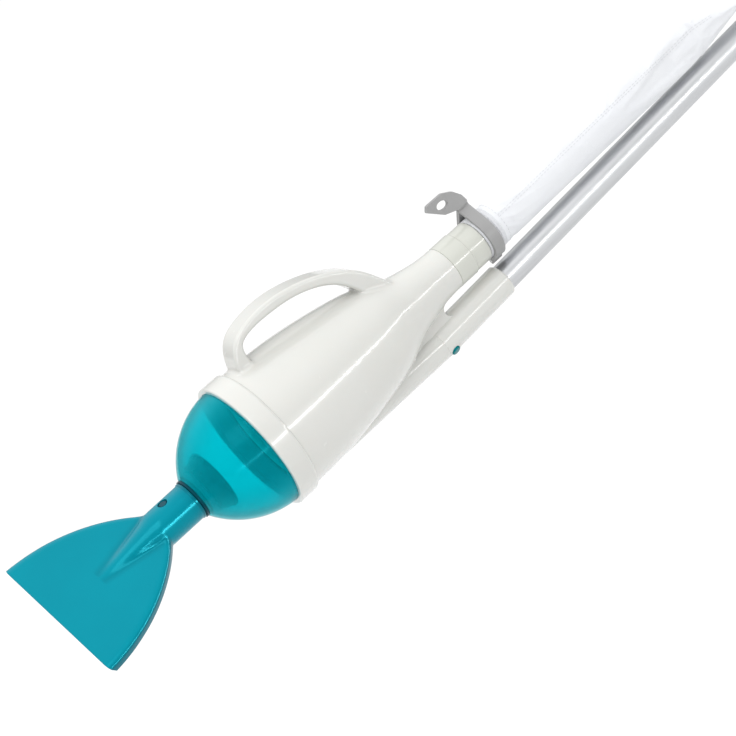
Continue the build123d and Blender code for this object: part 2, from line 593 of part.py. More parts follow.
def clamp_fixed_jaw():
    """Far half of the clamp, with the outer hinge knuckles and the catch block."""
    x0, x1 = CLAMP_START_X, CLAMP_START_X + CLAMP_WIDTH
    third = CLAMP_WIDTH / 3
    knuckles = clamp_barrel(x0, x0 + third) + clamp_barrel(x1 - third, x1)
    space = rod(x0 + third - 0.2, x1 - third + 0.2, CLAMP_BARREL_R + 0.4, z=CLAMP_PIN_Z)
    jaw = jaw_band(1, CLAMP_INNER_R) + (knuckles - rod(x0 - 1, x1 + 1, COLLAR_R + 0.02))
    catch = block(x0 + 1, x1 - 1, CLAMP_SPLIT, EAR_THICKNESS + 1.6, EAR_TOP_Z - 4.5, EAR_TOP_Z)
    return jaw + catch - space - rod(x0 - 1, x1 + 1, CLAMP_PIN_R, z=CLAMP_PIN_Z)


def finger_loop():
    """Leaf-shaped pull tab with an almond-shaped finger hole."""
    outline = make_face(Wire(Polyline(*LOOP_OUTLINE, close=True).edges()))
    tab = extrude(Plane.XZ * outline, LOOP_THICKNESS)
    tab = fillet(tab.edges().filter_by(Axis.Y), LOOP_EDGE_R)
    almond = Pos(*LOOP_HOLE) * Rot(0, 0, LOOP_HOLE_TILT) * Ellipse(*LOOP_HOLE_RADII)
    hole = extrude(Plane.XZ * almond, LOOP_THICKNESS * 3, both=True)
    return Pos(0, -CLAMP_SPLIT, 0) * tab - hole


def clamp_moving_jaw():
    """Near half of the clamp, with the middle knuckle and the finger loop."""
    x0, x1 = CLAMP_START_X, CLAMP_START_X + CLAMP_WIDTH
    first, last = x0 + CLAMP_WIDTH / 3 + CLAMP_KNUCKLE_GAP, x1 - CLAMP_WIDTH / 3 - CLAMP_KNUCKLE_GAP
    relief = Part()
    for start, end in ((x0 - 1, first), (last, x1 + 1)):
        relief += rod(start, end, CLAMP_BARREL_R + 0.4, z=CLAMP_PIN_Z)
    knuckle = clamp_barrel(first, last) - rod(x0 - 1, x1 + 1, CLAMP_INNER_R + 0.1)
    jaw = jaw_band(-1, CLAMP_INNER_R + 0.1) - relief + knuckle
    jaw += finger_loop() + block(x0, x1, -EAR_THICKNESS, -CLAMP_SPLIT, EAR_TOP_Z - 3, EAR_TOP_Z + 2)
    return jaw - rod(x0 - 1, x1 + 1, CLAMP_PIN_R + RUNNING_CLEARANCE, z=CLAMP_PIN_Z)


def clamp_hinge_pin():
    return rod(CLAMP_START_X, CLAMP_START_X + CLAMP_WIDTH, CLAMP_PIN_R, z=CLAMP_PIN_Z)


# ---------------------------------------------------------------- pole
def pole_tube():
    bore_r = POLE_R - POLE_WALL
    tube = ring(POLE_START_X, POLE_END_X, bore_r, POLE_R)
    tube -= rod(POLE_END_X - POLE_END_BORE_LENGTH, POLE_END_X + 1, POLE_END_BORE_R)
    hole = radial_rod(POLE_BUTTON_X, POLE_BUTTON_ANGLE, 5, 20, POLE_BUTTON_R + HOLE_CLEARANCE)
    return on_pole_axis(tube - hole)


def pole_plug():
    """Plug that keeps water out of the pole's lower end."""
    outer_r = POLE_R - POLE_WALL - 0.02
    end_x = POLE_START_X + POLE_PLUG_LENGTH
    hollow = rod(POLE_START_X + POLE_PLUG_WALL, end_x + 1, outer_r - POLE_PLUG_WALL)
    return on_pole_axis(rod(POLE_START_X, end_x, outer_r) - hollow)


def pole_button():
    pin = radial_rod(POLE_BUTTON_X, POLE_BUTTON_ANGLE, POLE_BUTTON_FOOT, POLE_BUTTON_TOP, POLE_BUTTON_R)
    crown = pin.edges().group_by(outward(POLE_BUTTON_ANGLE))[-1]
    return on_pole_axis(fillet(crown, POLE_BUTTON_EDGE_R))


def pole_button_spring():
    """Folded leaf spring inside the pole, in the plane of the button."""
    bend_x, tip_x = POLE_BUTTON_X + POLE_SPRING_REACH, POLE_BUTTON_X - 5
    slope_x = bend_x - 24
    path = FilletPolyline((tip_x, POLE_SPRING_NEAR), (slope_x, POLE_SPRING_NEAR), (bend_x, 0),
                          (slope_x, POLE_SPRING_FAR), (tip_x + 12, POLE_SPRING_FAR), radius=POLE_SPRING_BEND_R)
    leaf = extrude(Plane.XY * trace(path, POLE_SPRING_THICKNESS), 4, both=True)
    return on_pole_axis(Rot(POLE_BUTTON_ANGLE, 0, 0) * leaf)


PIECES = [
    nozzle_fan, nozzle_button, nozzle_button_spring, inlet_spigot, spigot_o_ring, spigot_snap_ring, valve_seat,
    valve_flap, valve_hinge_pin, front_dome, dome_seal, body_shell, handle, pole_socket, outlet_adaptor,
    outlet_o_ring, filter_bag, bag_collar, bag_end_binding, clamp_fixed_jaw, clamp_moving_jaw, clamp_hinge_pin,
    pole_tube, pole_plug, pole_button, pole_button_spring,
]

pole_length_out = POLE_END_X - SOCKET_END_X
free_end = (SOCKET_END_X + pole_length_out * cos(radians(POLE_TILT)), 0,
            -POLE_DROP + pole_length_out * sin(radians(POLE_TILT)))

os.makedirs("parts", exist_ok=True)
for piece in PIECES:
    shape = Pos(-free_end[0], 0, -free_end[2]) * piece()
    export_step(shape, f"parts/{piece.__name__}.step")
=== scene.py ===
import json
import math

import bmesh
import bpy
from mathutils import Matrix, Vector
from mathutils.bvhtree import BVHTree


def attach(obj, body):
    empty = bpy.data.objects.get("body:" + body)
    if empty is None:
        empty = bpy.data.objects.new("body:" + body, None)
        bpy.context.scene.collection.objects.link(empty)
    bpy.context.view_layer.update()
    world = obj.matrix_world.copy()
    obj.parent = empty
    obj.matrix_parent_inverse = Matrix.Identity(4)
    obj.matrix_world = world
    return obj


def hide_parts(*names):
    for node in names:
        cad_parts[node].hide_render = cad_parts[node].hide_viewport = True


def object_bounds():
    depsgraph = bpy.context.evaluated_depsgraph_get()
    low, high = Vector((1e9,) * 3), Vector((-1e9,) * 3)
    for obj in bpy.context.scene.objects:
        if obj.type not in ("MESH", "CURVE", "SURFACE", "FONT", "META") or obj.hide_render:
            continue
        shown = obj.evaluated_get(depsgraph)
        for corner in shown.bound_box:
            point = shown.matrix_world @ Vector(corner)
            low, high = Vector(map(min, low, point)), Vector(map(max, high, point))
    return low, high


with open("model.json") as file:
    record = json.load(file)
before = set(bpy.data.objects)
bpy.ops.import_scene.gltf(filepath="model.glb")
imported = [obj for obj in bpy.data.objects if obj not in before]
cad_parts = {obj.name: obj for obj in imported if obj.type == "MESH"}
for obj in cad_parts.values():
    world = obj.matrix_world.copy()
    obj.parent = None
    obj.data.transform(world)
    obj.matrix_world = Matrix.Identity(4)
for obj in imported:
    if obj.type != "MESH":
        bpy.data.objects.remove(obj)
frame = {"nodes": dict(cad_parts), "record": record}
cad_low, cad_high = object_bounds()
NODES = frame["nodes"]
MOUNTS = {mount["name"]: Vector(mount["pos_m"]) for mount in frame["record"]["mounts"]}

# ---------------------------------------------------------------- places, in metres, from the frame
HEAD = MOUNTS["nozzle_mouth"]          # where the head's own axis starts, at the mouth of the nozzle
FLOOR_DROP = 0.32                      # the head is held up by its pole, well above the floor


def at_head(x, y=0.0, z=0.0):
    """Point in the frame for a place along the head's own axis."""
    return HEAD + Vector((x, y, z))


# ---------------------------------------------------------------- node helpers
def new_material(name):
    material = bpy.data.materials.new(name)
    material.use_nodes = True
    nodes = material.node_tree.nodes
    return material, nodes, material.node_tree.links, nodes["Principled BSDF"]


def object_coordinates(nodes, links, scale=(1, 1, 1)):
    where = nodes.new("ShaderNodeTexCoord")
    mapping = nodes.new("ShaderNodeMapping")
    mapping.inputs["Scale"].default_value = scale
    links.new(where.outputs["Object"], mapping.inputs["Vector"])
    return mapping.outputs["Vector"]


def noise(nodes, links, vector, scale, detail=4.0, roughness=0.55):
    texture = nodes.new("ShaderNodeTexNoise")
    texture.inputs["Scale"].default_value = scale
    texture.inputs["Detail"].default_value = detail
    texture.inputs["Roughness"].default_value = roughness
    links.new(vector, texture.inputs["Vector"])
    return texture.outputs["Fac"]


def spread(nodes, links, value, low, high, start=0.3, end=0.7):
    """Turn a texture's middle range into a range of values."""
    remap = nodes.new("ShaderNodeMapRange")
    remap.inputs["From Min"].default_value = start
    remap.inputs["From Max"].default_value = end
    remap.inputs["To Min"].default_value = low
    remap.inputs["To Max"].default_value = high
    links.new(value, remap.inputs["Value"])
    return remap.outputs["Result"]


def two_colours(nodes, links, value, first, second):
    ramp = nodes.new("ShaderNodeValToRGB")
    ramp.color_ramp.elements[0].position = 0.3
    ramp.color_ramp.elements[0].color = (*first, 1)
    ramp.color_ramp.elements[1].position = 0.7
    ramp.color_ramp.elements[1].color = (*second, 1)
    links.new(value, ramp.inputs["Fac"])
    return ramp.outputs["Color"]


def bump(nodes, links, height, strength, distance, under=None):
    node = nodes.new("ShaderNodeBump")
    node.inputs["Strength"].default_value = strength
    node.inputs["Distance"].default_value = distance
    links.new(height, node.inputs["Height"])
    if under is not None:
        links.new(under, node.inputs["Normal"])
    return node.outputs["Normal"]


# ---------------------------------------------------------------- materials
def moulded_plastic(name, colour, other, roughness, coat=0.0, subsurface=0.0, gloss_tint=(1, 1, 1),
                    deep_tint_and_painted_shade=None):
    """Injection-moulded plastic: faint colour drift, uneven gloss, slow sink marks and a fine grain.

    A tinted plastic is mixed towards a painted shade colour where a mesh's "depth" attribute marks painted
    shade.
    """
    material, nodes, links, shader = new_material(name)
    where = object_coordinates(nodes, links)
    cloudy = noise(nodes, links, where, 14.0, 3.0)
    smears = noise(nodes, links, where, 90.0, 5.0, 0.65)
    grain = noise(nodes, links, where, 2600.0, 2.0)
    base = two_colours(nodes, links, cloudy, colour, other)
    # painted shade: where the mesh's "depth" attribute is set, the colour is mixed towards a darker
    # painted shade colour
    if deep_tint_and_painted_shade is not None:
        depth = nodes.new("ShaderNodeAttribute")
        depth.attribute_name = "depth"
        tint_and_shade_mix = nodes.new("ShaderNodeMix")
        tint_and_shade_mix.data_type = "RGBA"
        tint_and_shade_mix.inputs["B"].default_value = (*deep_tint_and_painted_shade, 1)
        links.new(depth.outputs["Fac"], tint_and_shade_mix.inputs["Factor"])
        links.new(base, tint_and_shade_mix.inputs["A"])
        base = tint_and_shade_mix.outputs["Result"]
    links.new(base, shader.inputs["Base Color"])
    gloss = spread(nodes, links, smears, roughness * 0.82, roughness * 1.25)
    links.new(gloss, shader.inputs["Roughness"])
    sinks = bump(nodes, links, cloudy, 0.04, 0.004)
    links.new(bump(nodes, links, grain, 0.05, 0.00006, sinks), shader.inputs["Normal"])
    shader.inputs["Specular Tint"].default_value = (*gloss_tint, 1)
    shader.inputs["Coat Weight"].default_value = coat
    shader.inputs["Coat Roughness"].default_value = 0.05
    shader.inputs["Subsurface Weight"].default_value = subsurface
    shader.inputs["Subsurface Radius"].default_value = (0.5, 0.8, 1.0)
    shader.inputs["Subsurface Scale"].default_value = 0.004
    return material


TEAL_GLOSS = (0.08, 0.85, 1.0)          # the gloss of a deeply tinted plastic takes on its colour


def clear_plastic(name, tint, colour, other, deep_tint_and_painted_shade, roughness):
    """Tinted see-through plastic, deeper in colour towards its outline, where its wall looks thicker."""
    material, nodes, links, shader = new_material(name)
    where = object_coordinates(nodes, links)
    cloudy = noise(nodes, links, where, 22.0, 3.0)
    smears = noise(nodes, links, where, 120.0, 5.0, 0.65)
    edge = nodes.new("ShaderNodeLayerWeight")
    edge.inputs["Blend"].default_value = 0.35
    tint_and_shade_mix = nodes.new("ShaderNodeMix")
    tint_and_shade_mix.data_type = "RGBA"
    tint_and_shade_mix.inputs["B"].default_value = (*deep_tint_and_painted_shade, 1)
    links.new(spread(nodes, links, edge.outputs["Facing"], 0.0, 1.0, 0.35, 0.95), tint_and_shade_mix.inputs["Factor"])
    links.new(two_colours(nodes, links, cloudy, colour, other), tint_and_shade_mix.inputs["A"])
    links.new(tint_and_shade_mix.outputs["Result"], shader.inputs["Base Color"])
    links.new(spread(nodes, links, smears, roughness * 0.8, roughness * 1.3), shader.inputs["Roughness"])
    links.new(bump(nodes, links, cloudy, 0.03, 0.003), shader.inputs["Normal"])
    shader.inputs["Specular Tint"].default_value = (*TEAL_GLOSS, 1)
    through = nodes.new("ShaderNodeBsdfTransparent")
    through.inputs["Color"].default_value = (*tint, 1)
    mix = nodes.new("ShaderNodeMixShader")
    links.new(spread(nodes, links, edge.outputs["Facing"], 0.22, 0.85, 0.1, 0.95), mix.inputs["Fac"])
    links.new(through.outputs["BSDF"], mix.inputs[1])
    links.new(shader.outputs["BSDF"], mix.inputs[2])
    links.new(mix.outputs["Shader"], nodes["Material Output"].inputs["Surface"])
    return material


def drawn_metal(name, colour, other, roughness, stretch):
    """Drawn or brushed metal: fine lines along the draw and faint handling marks."""
    material, nodes, links, shader = new_material(name)
    lines = noise(nodes, links, object_coordinates(nodes, links, stretch), 60.0, 6.0, 0.7)
    marks = noise(nodes, links, object_coordinates(nodes, links), 45.0, 4.0)
    links.new(two_colours(nodes, links, lines, colour, other), shader.inputs["Base Color"])
    links.new(spread(nodes, links, marks, roughness * 0.8, roughness * 1.3), shader.inputs["Roughness"])
    links.new(bump(nodes, links, lines, 0.12, 0.0002), shader.inputs["Normal"])
    shader.inputs["Metallic"].default_value = 1.0
    return material


def rubber(name, colour, other):
    material, nodes, links, shader = new_material(name)
    where = object_coordinates(nodes, links)
    bloom = noise(nodes, links, where, 140.0, 5.0)
    grain = noise(nodes, links, where, 3200.0, 2.0)
    links.new(two_colours(nodes, links, bloom, colour, other), shader.inputs["Base Color"])
    links.new(spread(nodes, links, bloom, 0.5, 0.72), shader.inputs["Roughness"])
    links.new(bump(nodes, links, grain, 0.2, 0.0001), shader.inputs["Normal"])
    return material


def woven(name, colour, other, threads_round, threads_along, strength, rough=0.85):
    """Woven cloth from a piece's own UVs: warp and weft threads, slubs and a soft sheen."""
    material, nodes, links, shader = new_material(name)
    uv = nodes.new("ShaderNodeTexCoord").outputs["UV"]
    split = nodes.new("ShaderNodeSeparateXYZ")
    links.new(uv, split.inputs["Vector"])
    heights = []
    for axis, count in (("X", threads_round), ("Y", threads_along)):
        turn = nodes.new("ShaderNodeMath")
        turn.operation = "MULTIPLY"
        turn.inputs[1].default_value = count * math.tau
        links.new(split.outputs[axis], turn.inputs[0])
        wave = nodes.new("ShaderNodeMath")
        wave.operation = "SINE"
        links.new(turn.outputs[0], wave.inputs[0])
        heights.append(wave.outputs[0])
    weave = nodes.new("ShaderNodeMath")
    weave.operation = "MULTIPLY"
    links.new(heights[0], weave.inputs[0])
    links.new(heights[1], weave.inputs[1])
    where = object_coordinates(nodes, links)
    slubs = noise(nodes, links, where, 420.0, 4.0, 0.7)
    cloudy = noise(nodes, links, where, 30.0, 4.0)
    links.new(two_colours(nodes, links, cloudy, colour, other), shader.inputs["Base Color"])
    fuzz = spread(nodes, links, slubs, rough * 0.92, min(1.0, rough * 1.1))
    links.new(fuzz, shader.inputs["Roughness"])
    threads = bump(nodes, links, weave.outputs[0], strength, 0.00025)
    links.new(bump(nodes, links, slubs, strength * 0.7, 0.0004, threads), shader.inputs["Normal"])
    shader.inputs["Sheen Weight"].default_value = 0.15
    shader.inputs["Sheen Roughness"].default_value = 0.5
    return material


# the nozzle's second, darker colour is painted shade for its shaded side walls, lip, ridge flanks and
# tube-end collar
TEAL = moulded_plastic("teal_plastic", (0.0, 0.232, 0.305), (0.0, 0.212, 0.283), 0.16,
                       gloss_tint=TEAL_GLOSS, deep_tint_and_painted_shade=(0.0, 0.10, 0.14))
CLEAR = clear_plastic("clear_teal", (0.03, 0.92, 0.96), (0.0, 0.49, 0.56), (0.0, 0.46, 0.53),
                      (0.0, 0.11, 0.14), 0.12)
CUP = moulded_plastic("dark_teal_plastic", (0.0, 0.042, 0.066), (0.0, 0.036, 0.058), 0.28,
                      gloss_tint=TEAL_GLOSS)
RING = moulded_plastic("spigot_ring_plastic", (0.0, 0.022, 0.042), (0.0, 0.018, 0.036), 0.4,
                       gloss_tint=TEAL_GLOSS)
BUTTON = moulded_plastic("button_teal", (0.0, 0.14, 0.15), (0.0, 0.12, 0.13), 0.22,
                         gloss_tint=TEAL_GLOSS)
NOZZLE_BUTTON = moulded_plastic("nozzle_button_teal", (0.0, 0.04, 0.065), (0.0, 0.035, 0.055), 0.4,
                                gloss_tint=TEAL_GLOSS)
WHITE = moulded_plastic("white_plastic", (0.64, 0.642, 0.614), (0.625, 0.627, 0.595), 0.22, coat=0.6,
                        subsurface=0.06)
OUTLET = moulded_plastic("outlet_plastic", (0.57, 0.58, 0.53), (0.55, 0.56, 0.51), 0.22, coat=0.6)
GREY = moulded_plastic("clamp_plastic", (0.325, 0.325, 0.325), (0.295, 0.295, 0.295), 0.42)
DARK = moulded_plastic("plug_plastic", (0.03, 0.03, 0.035), (0.02, 0.02, 0.025), 0.45)
RUBBER = rubber("seal_rubber", (0.02, 0.035, 0.04), (0.035, 0.05, 0.055))
STEEL = drawn_metal("spring_steel", (0.56, 0.56, 0.57), (0.46, 0.46, 0.48), 0.28, (1, 1, 1))
ALUMINIUM = drawn_metal("pole_aluminium", (0.57, 0.58, 0.59), (0.50, 0.51, 0.525), 0.36, (0.06, 3,
                        3))
CLOTH = woven("bag_fabric", (0.82, 0.835, 0.86), (0.79, 0.805, 0.835), 190, 510, 0.35)
TAPE = woven("bag_trim", (0.76, 0.77, 0.795), (0.72, 0.73, 0.76), 150, 18, 0.5)
THREAD = woven("stitch_thread", (0.68, 0.69, 0.72), (0.63, 0.64, 0.67), 3, 6, 0.4)

NODE_MATERIALS = {
    "front_dome": CLEAR, "inlet_spigot": CUP, "valve_seat": CUP, "nozzle_button": NOZZLE_BUTTON,
    "spigot_snap_ring": RING, "body_shell": WHITE, "handle": WHITE, "pole_socket": WHITE,
    "outlet_adaptor": OUTLET, "spigot_o_ring": RUBBER, "outlet_o_ring": RUBBER, "dome_seal": RUBBER,
    "valve_flap": RUBBER, "nozzle_button_spring": STEEL, "pole_button_spring": STEEL,
    "valve_hinge_pin": STEEL, "clamp_hinge_pin": STEEL, "clamp_fixed_jaw": GREY, "clamp_moving_jaw": GREY,
    "pole_tube": ALUMINIUM, "pole_plug": DARK, "pole_button": BUTTON, "nozzle_fan": TEAL,
    "filter_bag": CLOTH, "bag_collar": TAPE, "bag_end_binding": TAPE,
}
for node_name, node_material in NODE_MATERIALS.items():
    for material_slot in NODES[node_name].material_slots:
        material_slot.material = node_material


# ---------------------------------------------------------------- mesh helpers
def add_piece(name, vertices, faces, material, body, uvs=None, sharp=None):
    """New mesh object that rides on a body, with smooth faces and optional sharp edges and UVs."""
    mesh = bpy.data.meshes.new(name)
    mesh.from_pydata([tuple(v) for v in vertices], [], faces)
    mesh.validate()
    if uvs is not None:
        layer = mesh.uv_layers.new(name="cloth")
        for loop in mesh.loops:
            layer.data[loop.index].uv = uvs[loop.vertex_index]
    mesh.polygons.foreach_set("use_smooth", [True] * len(mesh.polygons))
    if sharp is not None:
        mesh.set_sharp_from_angle(angle=math.radians(sharp))
    mesh.materials.append(material)
    piece = bpy.data.objects.new(name, mesh)
    bpy.context.scene.collection.objects.link(piece)
    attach(piece, body)
    return piece


def apply_modifiers(piece):
    """Turn a piece's modifiers into its own mesh."""
    graph = bpy.context.evaluated_depsgraph_get()
    mesh = bpy.data.meshes.new_from_object(piece.evaluated_get(graph))
    piece.modifiers.clear()
    piece.data = mesh


def smooth_max(a, b, width):
    """Larger of two values, with a rounded change from one to the other."""
    share = min(1.0, max(0.0, 0.5 + 0.5 * (a - b) / width))
    return b + (a - b) * share + width * share * (1 - share)


def between(start, end, share):
    return start + (end - start) * share


# ---------------------------------------------------------------- nozzle
FAN_HALF_WIDTH = 0.0665
FAN_HALF_THICKNESS = 0.00575
FAN_EDGE_DROP = 0.0033                 # how far the plate's edge rolls down, and over what width
FAN_EDGE_WIDTH = 0.0068
FAN_LENGTH = 0.104
FAN_WALL = 0.002
FAN_BEVEL = 0.0062
RIDGE_TIP = 0.0435
TUBE_R = 0.0167
TUBE_BORE_R = 0.01445
TUBE_END = 0.1396
TUBE_LIP = 0.0007
NOZZLE_TURN = math.radians(34.0)
BUTTON_X = 0.1186
BUTTON_ANGLE = math.radians(100.0)
BUTTON_HOLE_R = 0.0045
SECTION_POINTS = 97
RIDGE_BLEND = 0.0028
RIDGE_TIP_R = 0.0046
TUBE_START = FAN_LENGTH + 0.003        # past here the section is the round tube
TUBE_BLEND_START = FAN_LENGTH - 0.012
TUBE_BLEND_LENGTH = 0.015
MOUTH_BEVEL_LENGTH = 0.03
DRILL_DEPTH = 0.014
DRILL_MIDDLE_R = 0.0165
PAINTED_SHADE_STRENGTH = 0.8                          # how far the painted shade darkens the nozzle's shaded places


def arc_through(a, b, c):
    """Circle through three points in a plane: centre and radius."""
    d = 2 * (a[0] * (b[1] - c[1]) + b[0] * (c[1] - a[1]) + c[0] * (a[1] - b[1]))
    sa, sb, sc = (p[0] ** 2 + p[1] ** 2 for p in (a, b, c))
    x = (sa * (b[1] - c[1]) + sb * (c[1] - a[1]) + sc * (a[1] - b[1])) / d
    y = (sa * (c[0] - b[0]) + sb * (a[0] - c[0]) + sc * (b[0] - a[0])) / d
    return x, y, math.hypot(a[0] - x, a[1] - y)


SIDE_MIDDLE = (FAN_LENGTH * 0.6, FAN_HALF_WIDTH * 0.735)
SIDE_ARC = arc_through((0.0, FAN_HALF_WIDTH), SIDE_MIDDLE, (FAN_LENGTH, TUBE_R))


def fan_half_width(x):
    """Half of the fan's width, along its convex side, then the tube's radius."""
    if x <= 0:
        return FAN_HALF_WIDTH
    if x >= FAN_LENGTH:
        return TUBE_R
    centre_x, centre_y, radius = SIDE_ARC
    return centre_y + math.sqrt(radius ** 2 - (x - centre_x) ** 2)


def ridge_radius(x, full):
    """Radius of the cone that spreads from the ridge's tip to the tube."""
    share = (x - RIDGE_TIP) / (TUBE_START - RIDGE_TIP)
    return between(RIDGE_TIP_R, full, min(1.0, share)) if share > 0 else 0.0


def fan_section(x, wall, tube_r):
    """Closed section of the nozzle at x, as (across, height) points."""
    half_width = max(tube_r, fan_half_width(x) - wall) if x < FAN_LENGTH else tube_r
    thickness = FAN_HALF_THICKNESS - wall
    edge_drop, edge_width = max(0.0006, FAN_EDGE_DROP - wall), FAN_EDGE_WIDTH - wall
    radius = ridge_radius(x, tube_r)
    points = []
    for index in range(SECTION_POINTS):
        angle = math.pi * index / (SECTION_POINTS - 1)
        across = half_width * math.cos(angle)
        if x >= TUBE_START:
            points.append((across, tube_r * math.sin(angle)))
            continue
        over = max(0.0, abs(across) - half_width + edge_width) / edge_width
        plate = thickness - edge_drop + edge_drop * math.sqrt(max(0.0, 1 - over ** 2))
        inside = radius ** 2 - across ** 2
        ridge = math.sqrt(inside) if inside > 0 else -(abs(across) - radius)
        height = smooth_max(plate, ridge, RIDGE_BLEND)
        into_tube = max(0.0, (x - TUBE_BLEND_START) / TUBE_BLEND_LENGTH)
        tube = tube_r * math.sin(angle)
        points.append((across, between(height, tube, min(1.0, into_tube) ** 2)))
    below = [(across, -height) for across, height in reversed(points)]
    return points + below


def nozzle_skin(wall, tube_r, stations):
    """Rings of points for one skin of the nozzle."""
    rings = []
    turn = Matrix.Rotation(NOZZLE_TURN, 3, "X")
    for x, grow in stations:
        ring = []
        for across, height in fan_section(x, wall, tube_r + grow):
            near_mouth = max(0.0, 1 - max(0.0, x) / MOUTH_BEVEL_LENGTH)
            bevel = -FAN_BEVEL / FAN_HALF_THICKNESS / 2 * height * near_mouth
            ring.append(HEAD + turn @ Vector((x + bevel, across, height)))
        rings.append(ring)
    return rings


def make_nozzle():
    steps = 64
    fan = [(FAN_LENGTH * 1.04 * i / steps, 0.0) for i in range(steps + 1)]
    lip_start = TUBE_END - 0.0024
    tube = [(x, 0.0) for x in (0.112, 0.118, 0.124, 0.130, lip_start - 0.0003)]
    lip = [(lip_start, TUBE_LIP * 0.7), (lip_start + 0.0004, TUBE_LIP), (TUBE_END - 0.0005, TUBE_LIP),
           (TUBE_END, TUBE_LIP * 0.5)]
    outer = nozzle_skin(0.0, TUBE_R, fan + tube + lip)
    bore = [(x, 0.0) for x in (TUBE_END, 0.130, 0.124, 0.118, 0.112)]
    inner = nozzle_skin(FAN_WALL, TUBE_BORE_R, bore + list(reversed(fan)))
    rings = outer + inner
    count = len(rings[0])
    vertices = [point for ring in rings for point in ring]
    faces = []
    for i in range(len(rings)):
        following = (i + 1) % len(rings)
        for j in range(count):
            k = (j + 1) % count
            faces.append((i * count + j, following * count + j, following * count + k, i * count + k))
    piece = add_piece("nozzle_moulding", vertices, faces, TEAL, "nozzle", sharp=38)
    tidy_mesh(piece)
    drill_button_hole(piece)
    piece.data.set_sharp_from_angle(angle=math.radians(38))
    paint_nozzle_shade(piece)
    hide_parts("nozzle_fan")
    return piece


def paint_nozzle_shade(piece):
    """Paint shade into the colour: darker on the rolled sides, the mouth's lip, the ridge's flanks and the
    tube's end collar.
    """
    # the "depth" attribute holds painted shade, not a wall thickness
    depth = piece.data.attributes.new("depth", "FLOAT", "POINT")
    back = Matrix.Rotation(-NOZZLE_TURN, 3, "X")
    for index, vertex in enumerate(piece.data.vertices):
        x, across, height = back @ (vertex.co - HEAD)
        side = (abs(across) - fan_half_width(x) + 0.0022) / 0.002 if x < FAN_LENGTH else 0.0
        lip = 1 - (x + 0.0045) / 0.002
        radius = ridge_radius(x, TUBE_R) if x < FAN_LENGTH else 0.0
        flank = 0.45 * (1 - abs(abs(across) - radius) / 0.005) if radius > 0 else 0.0
        # painted shade of the gap where the tube's end meets the dome
        collar = (x - TUBE_END + 0.003) / 0.001
        depth.data[index].value = min(1.0, max(0.0, side, lip, flank, collar)) * PAINTED_SHADE_STRENGTH


def tidy_mesh(piece):
    """Merge doubled points and turn every face outwards."""
    work = bmesh.new()
    work.from_mesh(piece.data)
    bmesh.ops.remove_doubles(work, verts=work.verts, dist=1e-6)
    bmesh.ops.recalc_face_normals(work, faces=work.faces)
    work.to_mesh(piece.data)
    work.free()


def drill_button_hole(piece):
    direction = Vector((0, math.cos(BUTTON_ANGLE), math.sin(BUTTON_ANGLE)))
    bpy.ops.mesh.primitive_cylinder_add(vertices=48, radius=BUTTON_HOLE_R, depth=DRILL_DEPTH)
    drill = bpy.context.object
    drill.matrix_world = (Matrix.Translation(at_head(BUTTON_X) + direction * DRILL_MIDDLE_R)
                          @ direction.to_track_quat("Z", "Y").to_matrix().to_4x4())
    hole = piece.modifiers.new("hole", "BOOLEAN")
    hole.object = drill
    hole.operation = "DIFFERENCE"
    hole.solver = "EXACT"
    bpy.context.view_layer.update()
    apply_modifiers(piece)
    bpy.data.objects.remove(drill)


make_nozzle()


# ---------------------------------------------------------------- rounded roots of the white moulding
ROOT_REACH = {"handle": 0.0042, "pole_socket": 0.003}
ROOT_SUNK = 0.0008                     # how far a fillet's hidden side reaches under both surfaces
ROOT_SPACING = 0.0012


def junction_loops(part, shell):
    """Closed loops of points where a part's outside meets the shell it stands on."""
    work = bmesh.new()
    work.from_mesh(part.data)
    bmesh.ops.remove_doubles(work, verts=work.verts, dist=2e-6)
    surface = BVHTree.FromObject(shell, bpy.context.evaluated_depsgraph_get())
    touching = set()
    for face in work.faces:
        near = [surface.find_nearest(corner.co)[3] for corner in face.verts]
        middle = surface.find_nearest(face.calc_center_median())[3]
        if max(near) < 6e-5 and middle < 2.5e-4:
            touching.add(face.index)
    following = {}
    for edge in work.edges:
        sides = [face.index in touching for face in edge.link_faces]
        if len(sides) == 2 and sides[0] != sides[1]:
            a, b = edge.verts
            following.setdefault(a.index, []).append(b.index)
            following.setdefault(b.index, []).append(a.index)
    work.verts.ensure_lookup_table()
    places = {index: work.verts[index].co.copy() for index in following}
    work.free()
    loops, left = [], set(following)
    while left:
        start = left.pop()
        chain, last = [start], None
        while True:
            onward = [n for n in following[chain[-1]] if n != last and n in left]
            if not onward:
                break
            last = chain[-1]
            chain.append(onward[0])
            left.discard(onward[0])
        if len(chain) > 12:
            loops.append([places[index] for index in chain])
    return loops


def evenly(points, spacing):
    """The same closed loop with evenly spaced points."""
    ring = points + [points[0]]
    lengths = [(b - a).length for a, b in zip(ring, ring[1:])]
    total = sum(lengths)
    count = max(24, round(total / spacing))
    placed, index, run = [], 0, 0.0
    for step in range(count):
        target = total * step / count
        while run + lengths[index] < target:
            run += lengths[index]
            index += 1
        share = (target - run) / max(lengths[index], 1e-9)
        placed.append(ring[index].lerp(ring[index + 1], share))
    return placed


def smooth_loop(points, rounds):
    for _ in range(rounds):
        count = len(points)
        points = [(points[i - 1] + points[i] * 2 + points[(i + 1) % count]) / 4 for i in range(count)]
    return points


